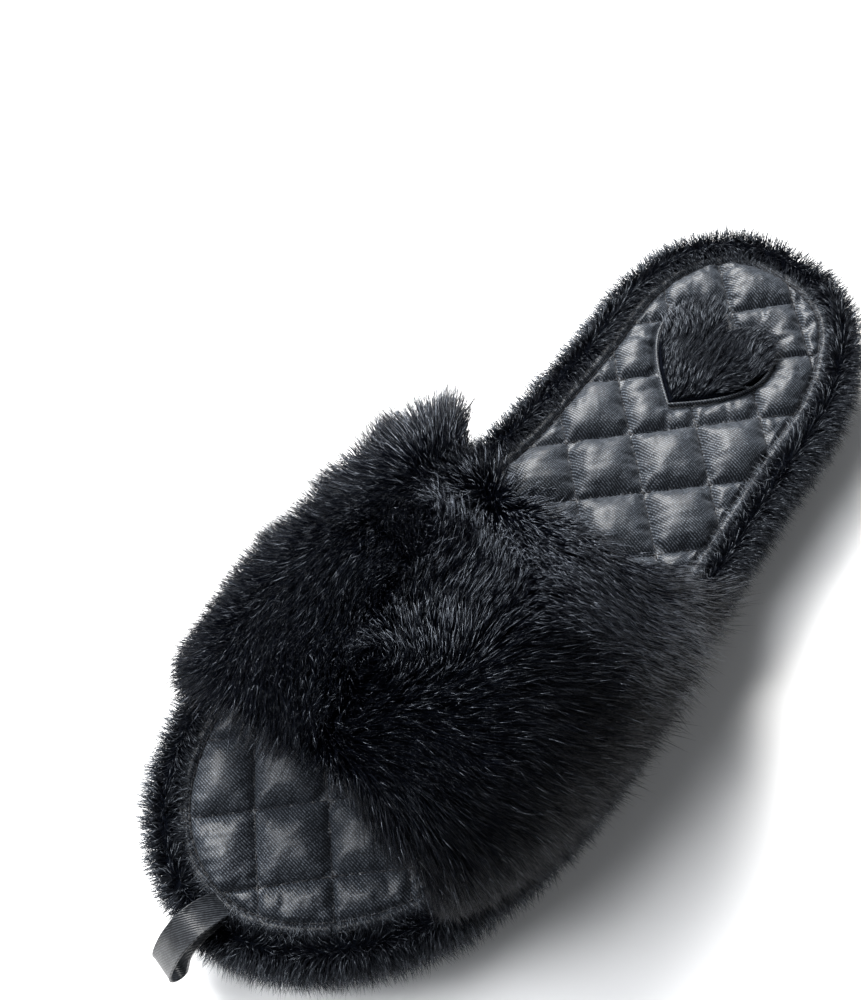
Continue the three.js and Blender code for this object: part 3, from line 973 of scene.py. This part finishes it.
def heart_pile(count=5200):
    """Short pile on the heart, combed roughly from its tip to its lobes with stray locks."""
    rng = np.random.default_rng(51)
    low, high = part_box("heart_inlay")
    x = rng.uniform(low[0], high[0], 3 * count)
    y = rng.uniform(low[1], high[1], 3 * count)
    inside = heart_signed(x, y) < -1.0 * MM
    x, y = x[inside][:count], y[inside][:count]
    n = len(x)
    spot = np.stack([x, y, np.full(n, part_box("quilted_sock")[1][2] + 0.9 * MM)], -1)
    face = np.tile([0, 0, 1.0], (n, 1))
    swirl = heart_combing(x, y) + 0.3 * rng.normal(size=n)
    lay = np.stack([np.cos(swirl), np.sin(swirl), np.zeros(n)], -1)
    rim = smoothstep(-4 * MM, -1 * MM, heart_signed(x, y)) * smoothstep(high[1] - 8 * MM, low[1], y)
    length = HEART_PILE * rng.uniform(0.7, 1.15, n) * (1 - 0.5 * rim)
    lean = rng.uniform(0.2, 0.85, n)
    lines = hair_lines(SHORT_STEPS, spot, face, lay, length, lean, rng.uniform(0.05, 0.3, n))
    x2, y2 = lock_middle(x, HEART_LOCK), lock_middle(y, HEART_LOCK)
    lock = heart_combing(x2, y2)
    spot2 = np.stack([x2, y2, spot[:, 2]], -1)
    lay2 = np.stack([np.cos(lock), np.sin(lock), np.zeros(n)], -1)
    guides = hair_lines(SHORT_STEPS, spot2, face, lay2, length, np.full(n, 0.7), np.full(n, 0.15))
    lines = gather(SHORT_STEPS, lines, guides, rng.uniform(0.2, 0.7, n))
    # Painted glints: hairs further from the heart's middle more often take the pale tip tone.
    pale = smoothstep(6 * MM, 15 * MM, np.abs(x + 1j * y - HEART_MIDDLE)) * 0.25
    piece = hair_mesh("heart_pile", SHORT_STEPS, lines, HEART_HAIR, HEART_TONES, 53, pale)
    return piece


def heart_edging():
    """The rolled satin edging: a round section carried along the heart's outline."""
    z = heart_curve(300, 0.3 * MM)
    ahead = np.roll(z, -2) - np.roll(z, 2)
    out = -1j * ahead / np.abs(ahead)
    around = np.arange(10) / 10 * TAU
    radius = HEART_ROLL * (1 + 0.08 * np.sin(np.arange(300) * 1.9))[:, None]
    flat = z[:, None] + out[:, None] * np.cos(around) * radius
    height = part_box("quilted_sock")[1][2] + 0.45 * MM + radius * np.sin(around)
    points = np.stack([flat.real, flat.imag, height], -1)
    piece = mesh_piece("heart_roll", points, grid_faces(300, 10, True, True), SATIN)
    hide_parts("heart_edging")


# ---------------------------------------------------------------- strap
STRAP_LOW, STRAP_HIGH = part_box("strap_lining")


def strap_face(u, v):
    """A point of the strap's inner face: u over the arch from -X to +X, v from toe to heel.

    x follows cos^0.8 and z follows sin^0.7 of the arch's angle. Both edges draw together at the crown."""
    angle = math.pi * (1 - u)
    rise = np.sin(angle)
    front = STRAP_LOW[1] + STRAP_CROWN_SHIFT[0] * rise
    back = STRAP_HIGH[1] + STRAP_CROWN_SHIFT[1] * rise
    y = front + (back - front) * v
    left, right = side_x(y, SOCK_INSET)
    tall = (STRAP_HIGH[2] - STRAP_LOW[2] - 1 * MM) * (STRAP_FRONT_SHARE + (1 - STRAP_FRONT_SHARE) * v)
    across = np.sign(np.cos(angle)) * np.abs(np.cos(angle)) ** ARCH_SPREAD
    x = (left + right) / 2 + (right - left) / 2 * across + STRAP_LEAN * rise * v
    return np.stack([x, y, STRAP_LOW[2] + tall * np.maximum(rise, 0) ** ARCH_RISE], -1)


def strap_directions(u, v):
    """Over-the-arch, toe-to-heel and outward unit vectors of the strap at u and v, by differences."""
    d = 0.02
    over = unit(strap_face(np.minimum(u + d, 1), v) - strap_face(np.maximum(u - d, 0), v))
    heel = unit(strap_face(u, v + d) - strap_face(u, v - d))
    return over, heel, unit(np.cross(over, heel))


def strap_layer(name, inside, outside, material, rounded, steps=(96, 28)):
    """A closed band between two heights over the inner face, with its toe and heel edges rounded."""
    u = np.linspace(0, 1, steps[0])
    around = np.arange(2 * steps[1]) / (2 * steps[1]) * TAU
    across = np.sign(np.cos(around)) * np.abs(np.cos(around)) ** rounded
    lift = np.sign(np.sin(around)) * np.abs(np.sin(around)) ** rounded
    v = np.broadcast_to(0.5 + 0.5 * across, (steps[0], len(around)))
    uu = np.broadcast_to(u[:, None], v.shape)
    _, _, out = strap_directions(uu, v)
    height = (inside + outside) / 2 + (outside - inside) / 2 * lift
    points = strap_face(uu, v) + out * height[None, :, None]
    n = len(around)
    wall = grid_faces(steps[0], n, False, True)
    k = np.arange(1, n // 2 - 1)
    pair = np.stack([k, k + 1, n - k - 1, n - k], -1)
    tips = np.array([[0, 1, n - 1], [n // 2 - 1, n // 2, n // 2 + 1]])
    last = (steps[0] - 1) * n
    return mesh_piece(name, points, [wall, pair[:, ::-1], tips[:, ::-1], pair + last, tips + last], material,
                      creased=True)


def strap_pad():
    """The padded band under the long pile."""
    pad = strap_layer("strap_pad", *STRAP_PAD, UNDER_FUR, 0.35)
    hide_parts("strap_fur", "strap_padding")
    return pad


def strap_cloth():
    """The lining on the inside of the strap."""
    cloth = strap_layer("strap_lining_cloth", 0.1 * MM, 1.0 * MM, LINING, 0.2)
    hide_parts("strap_lining")
    return cloth


COMBING = [  # a region's middle and reach in u and in w, then its hairs' lay over the arch and to the heel
    (0.33, 0.12, 0.35, 0.48, 0.75, -0.80),  # the big-toe side, over and to the toe
    (0.00, 0.07, 0.50, 0.80, -1.00, -0.35),  # the inner foot of the arch, down
    (0.24, 0.18, 1.00, 0.20, -0.35, 0.35),  # the crown's heel edge, back
    (0.45, 0.05, 0.82, 0.08, 0.10, 0.35),  # a tuft behind the parting
    (0.54, 0.07, 0.52, 0.18, -0.60, 0.75),  # a tuft at the parting
    (0.78, 0.20, 0.50, 0.35, 0.90, 0.55),  # the outer side, down and to the heel
    (0.70, 0.14, 0.97, 0.22, 1.00, -0.35),  # the outer heel edge
    (0.75, 0.25, 0.03, 0.20, 0.90, -0.20),  # the outer toe edge
    (1.00, 0.15, 0.50, 0.80, 0.80, 0.00),  # the outer foot, down
]


def bell(u, w, place):
    """1 at a region's middle, falling as exp(-r^2) with the distance in reaches."""
    return np.exp(-(((u - place[0]) / place[1]) ** 2) - ((w - place[2]) / place[3]) ** 2)


def strap_combing(u, w):
    """How far hairs lie over the arch and to the heel: the sum of the regions' bells, and small swirls."""
    over, heel = (0.28 * wander(u * 0.15, w * 0.1, 30 * MM, seed) for seed in (61, 62))
    for place in COMBING:
        over = over + bell(u, w, place) * place[4]
        heel = heel + bell(u, w, place) * place[5]
    return over, heel


def strap_hair_frame(u, w):
    """Roots, outward ways, lays and leans of long hairs, which turn out over the toe and heel edges.

    Where regions meet and cancel, hairs stand up."""
    v = np.clip(w, 0.004, 0.996)
    over, heel, out = strap_directions(u, v)
    past = np.clip(np.abs(w - 0.5) - 0.42, 0, None) / 0.08 * np.sign(w - 0.5)
    outward = unit(out + heel * past[:, None] * 0.9)
    lift = STRAP_PAD[1] * (1 - 0.5 * np.clip(np.abs(past), 0, 1) ** 2)
    root = strap_face(u, v) + out * (lift - 0.2 * MM)[:, None]
    over_share, heel_share = strap_combing(u, w)
    lean = 0.15 + 0.75 * np.clip(np.hypot(over_share, heel_share), 0, 1)
    return root, outward, unit(over * over_share[:, None] + heel * heel_share[:, None]), lean


def strap_length(u, w):
    """Length of the long pile: fuller on the big-toe shoulder and the outer side.

    It is short at both toe corners and in a hollow at the parting."""
    shoulder = bell(u, w, (0.17, 0.13, 0.95, 0.42))
    outer = smoothstep(0.75, 0.95, u) * smoothstep(0.2, 0.75, w)
    inner_corner = smoothstep(0.35, 0.1, u) * smoothstep(0.4, 0.1, w)
    outer_corner = smoothstep(0.8, 1.0, u) * smoothstep(0.3, 0.0, w)
    hollow = bell(u, w, (0.45, 0.06, 0.45, 0.16)) + 0.4 * bell(u, w, (0.42, 0.07, 1.0, 0.2))
    share = 1 + 0.42 * shoulder + 0.35 * outer - 0.35 * inner_corner - 0.55 * outer_corner - 0.4 * hollow
    return LONG_PILE * share


def strap_glint_share(u, w):
    """Share of tips with painted glints: most along the lit heel edge and on the two tufts."""
    tufts = 0.4 * bell(u, w, COMBING[3]) + bell(u, w, COMBING[4])
    heel_edge = smoothstep(0.55, 0.95, w) * smoothstep(0.40, 0.60, u) * smoothstep(1.0, 0.8, u)
    return np.clip(0.25 * tufts + 0.85 * heel_edge + 0.25 * bell(u, w, (0.24, 0.16, 1.0, 0.10)), 0, 0.7)


def strap_coat(name, part, parts, count, steps, share, radius, locks, seed):
    """One band of long hairs between two u values, of a share of the full length, drawn into locks.

    A lock is a cell of u and w; its guide hair stands at the cell's middle, moved a little at random."""
    rng = np.random.default_rng(seed)
    u, w = (part + rng.random(count)) / parts, rng.random(count)
    root, outward, lay, lean = strap_hair_frame(u, w)
    length = strap_length(u, w) * rng.uniform(share - 0.25, share + 0.12, count)
    stray = rng.normal(size=(count, 3)) * 0.16
    lay = unit(lay + stray - outward * np.einsum("ij,ij->i", stray, outward)[:, None])
    lean = np.clip(lean + rng.normal(0, 0.2, count), 0.02, 1.3)
    lines = hair_lines(steps, root, outward, lay, length, lean, rng.uniform(0.0, 0.3, count))
    cell = 1 / np.array(STRAP_LOCKS)
    where = np.floor(np.stack([u, w], -1) / cell)
    chance = np.sin(where @ [127.1, 311.7])
    u2, w2 = np.clip((where + 0.5 + 0.35 * np.stack([chance, -chance], -1)) * cell, 0, 1).T
    root2, outward2, lay2, lean2 = strap_hair_frame(u2, w2)
    lay2 = unit(lay2 + np.cross(outward2, lay2) * (0.4 * np.sin(where @ [12.9898, 78.233]))[:, None])
    lean2 = lean2 + 0.2 * np.sin(where @ [3.7, 9.1])
    guides = hair_lines(steps, root2, outward2, lay2, length, lean2, np.full(count, 0.18))
    lines = gather(steps, lines, guides, np.clip(rng.normal(locks, 0.2, count), 0, 0.9))
    piece = hair_mesh(f"{name}_{part + 1}", steps, lines, radius, LONG_TONES, seed, strap_glint_share(u, w))


def strap_pile(parts=3):
    """The long pile in three bands over the arch: a dense shorter coat, and longer hairs through it."""
    for part in range(parts):
        strap_coat("under_coat", part, parts, 17000, SHORT_STEPS, 0.75, UNDER_COAT_HAIR, 0.2, 70 + part)
        strap_coat("long_pile", part, parts, 10000, LONG_STEPS, 0.98, LONG_HAIR, 0.3, 80 + part)


# ---------------------------------------------------------------- hang loop
def ribbon_frame():
    """The hinge at the ribbon's root, and the outward and sideways directions that its axis gives."""
    joint = next(j for j in frame["joints"] if j["name"] == "loop_swing")
    root = np.array(joint["pos_m"])
    side = unit(np.array(joint["axis"], float))
    return root, np.cross(np.array([0, 0, 1.0]), side), side


RIBBON_ROUTE = [  # outwards and up from the root, in millimetres: over the rim, the fold, and back beneath
    (0, 0), (2, 3.7), (7.5, 6.9), (13.5, 4.3), (18.2, -1.2), (21.4, -7.2), (22.1, -12.2), (20.8, -15),
    (18.8, -14.4), (17, -10.7), (14.8, -5.7), (11.5, -1.2), (7, 0.3), (0, 0),
]


def hang_loop():
    """The folded ribbon: a flat section with beaded edges carried along its route, closed at both ends."""
    root, out, side = ribbon_frame()
    steps = 110
    path = curve_through(np.array(RIBBON_ROUTE) * MM, steps)
    ahead = unit(np.gradient(path, axis=0))
    normal = np.stack([-ahead[:, 1], ahead[:, 0]], -1)
    upper = np.array([[-1, 0.4], [-0.97, 1.5], [-0.9, 1.6], [-0.84, 0.9], [-0.4, 0.9], [0, 0.9],
                      [0.4, 0.9], [0.84, 0.9], [0.9, 1.6], [0.97, 1.5], [1, 0.4]])
    profile = np.concatenate([upper, (upper * [1, -1])[::-1]])
    narrow = 1 - 0.10 * np.exp(-((np.linspace(0, 1, steps) - 0.02) / 0.05) ** 2)
    across = profile[:, 0][None, :] * RIBBON_HALF_WIDTH * narrow[:, None]
    height = profile[:, 1][None, :] * RIBBON_HALF_THICK
    plane = path[:, None, :] + normal[:, None, :] * height[..., None]
    points = root + plane[..., :1] * out + plane[..., 1:] * np.array([0, 0, 1.0]) + across[..., None] * side
    n = len(profile)
    wall = grid_faces(steps, n, False, True)
    k = np.arange(len(upper) - 1)
    cap = np.stack([k, k + 1, n - 2 - k, n - 1 - k], -1)
    faces = [wall, cap[:, ::-1], cap + (steps - 1) * n]
    ribbon = mesh_piece("satin_hang_loop", points, faces, RIBBON_SATIN, None)
    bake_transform(ribbon)
    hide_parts("hang_loop")
    return ribbon


# ---------------------------------------------------------------- inner pieces
def finish_inner_pieces():
    """The layers that the strip and the sock hide keep their CAD shapes, each in its own stuff."""
    looks = {
        "midsole": dark_cloth("eva_foam", (0.05, 0.05, 0.055), 0.6 * MM, 0.1 * MM),
        "insole_board": dark_cloth("fibre_board", (0.40, 0.33, 0.25), 1.5 * MM, 0.05 * MM),
        "comfort_foam": dark_cloth("cushion_foam", (0.60, 0.58, 0.52), 0.8 * MM, 0.2 * MM),
    }
    for node, look in looks.items():
        for place in frame["nodes"][node].material_slots:
            place.material = look


# ---------------------------------------------------------------- studio
def area_light(name, place, aim, size, power, colour):
    """A square soft light at place, turned to aim."""
    data = bpy.data.lights.new(name, "AREA")
    data.size, data.energy, data.color = size, power, colour
    lamp = bpy.data.objects.new(name, data)
    lamp.location = place
    lamp.rotation_euler = (Vector(aim) - Vector(place)).to_track_quat("-Z", "Y").to_euler()
    bpy.context.scene.collection.objects.link(lamp)


LIGHTS = [  # name, place, aim, size, power and colour
    ("key_softbox", (-0.66, 0.36, 0.68), (0, 0, 0.04), 0.50, 32.0, (1.0, 0.99, 0.97)),
    ("top_softbox", (-0.42, -0.25, 0.85), (0, 0, 0.04), 0.50, 10.0, (0.97, 0.98, 1.0)),
    ("toe_softbox", (-0.55, -0.75, 0.55), (0, 0, 0.02), 0.6, 3.0, (0.93, 0.96, 1.0)),
]


def studio():
    """A pale floor, three softboxes on the big-toe side and an even pale surround."""
    scene = bpy.context.scene
    half = 3.0
    corners = np.array([[-half, -half, 0], [half, -half, 0], [half, half, 0], [-half, half, 0]])
    pale = new_material("pale_floor", (0.93, 0.93, 0.93), 0.7)
    floor = mesh_piece("floor", corners, np.array([[0, 1, 2, 3]]), pale, None)
    world = bpy.data.worlds.new("surround")
    scene.world = world
    world.use_nodes = True
    world.node_tree.nodes["Background"].inputs["Color"].default_value = (0.95, 0.97, 1.0, 1)
    world.node_tree.nodes["Background"].inputs["Strength"].default_value = 0.18
    for light in LIGHTS:
        area_light(*light)
    scene.view_settings.view_transform = "Standard"
    scene.view_settings.look = "None"


def camera():
    """Looks down on the slipper from over its outer front, turned a little about its own line of sight."""
    azimuth, elevation, roll = math.radians(48.75), math.radians(64.1), math.radians(-10.45)
    distance, aim = 0.3214, Vector((-0.0382, -0.0045, 0.030))
    back = Vector((math.sin(azimuth) * math.cos(elevation), -math.cos(azimuth) * math.cos(elevation),
                   math.sin(elevation)))
    data = bpy.data.cameras.new("camera")
    data.sensor_width, data.lens = 36, 39.57
    data.clip_start, data.clip_end = 0.01, 20
    cam = bpy.data.objects.new("camera", data)
    turn = (-back).to_track_quat("-Z", "Y").to_matrix().to_4x4()
    cam.matrix_world = Matrix.Translation(aim + back * distance) @ turn @ Matrix.Rotation(roll, 4, "Z")
    bpy.context.scene.collection.objects.link(cam)
    bpy.context.scene.camera = cam


camera()
studio()
rubber_sole()
size_plate()
size_number()
bond_line()
finish_inner_pieces()
quilted_sock()
quilting_stitches()
rim_stitches()
heart_pad()
heart_pile()
heart_edging()
backing = strip_backing()
strip_fur = strip_pile()
strap_pad()
strap_cloth()
strap_pile()
hang_loop()
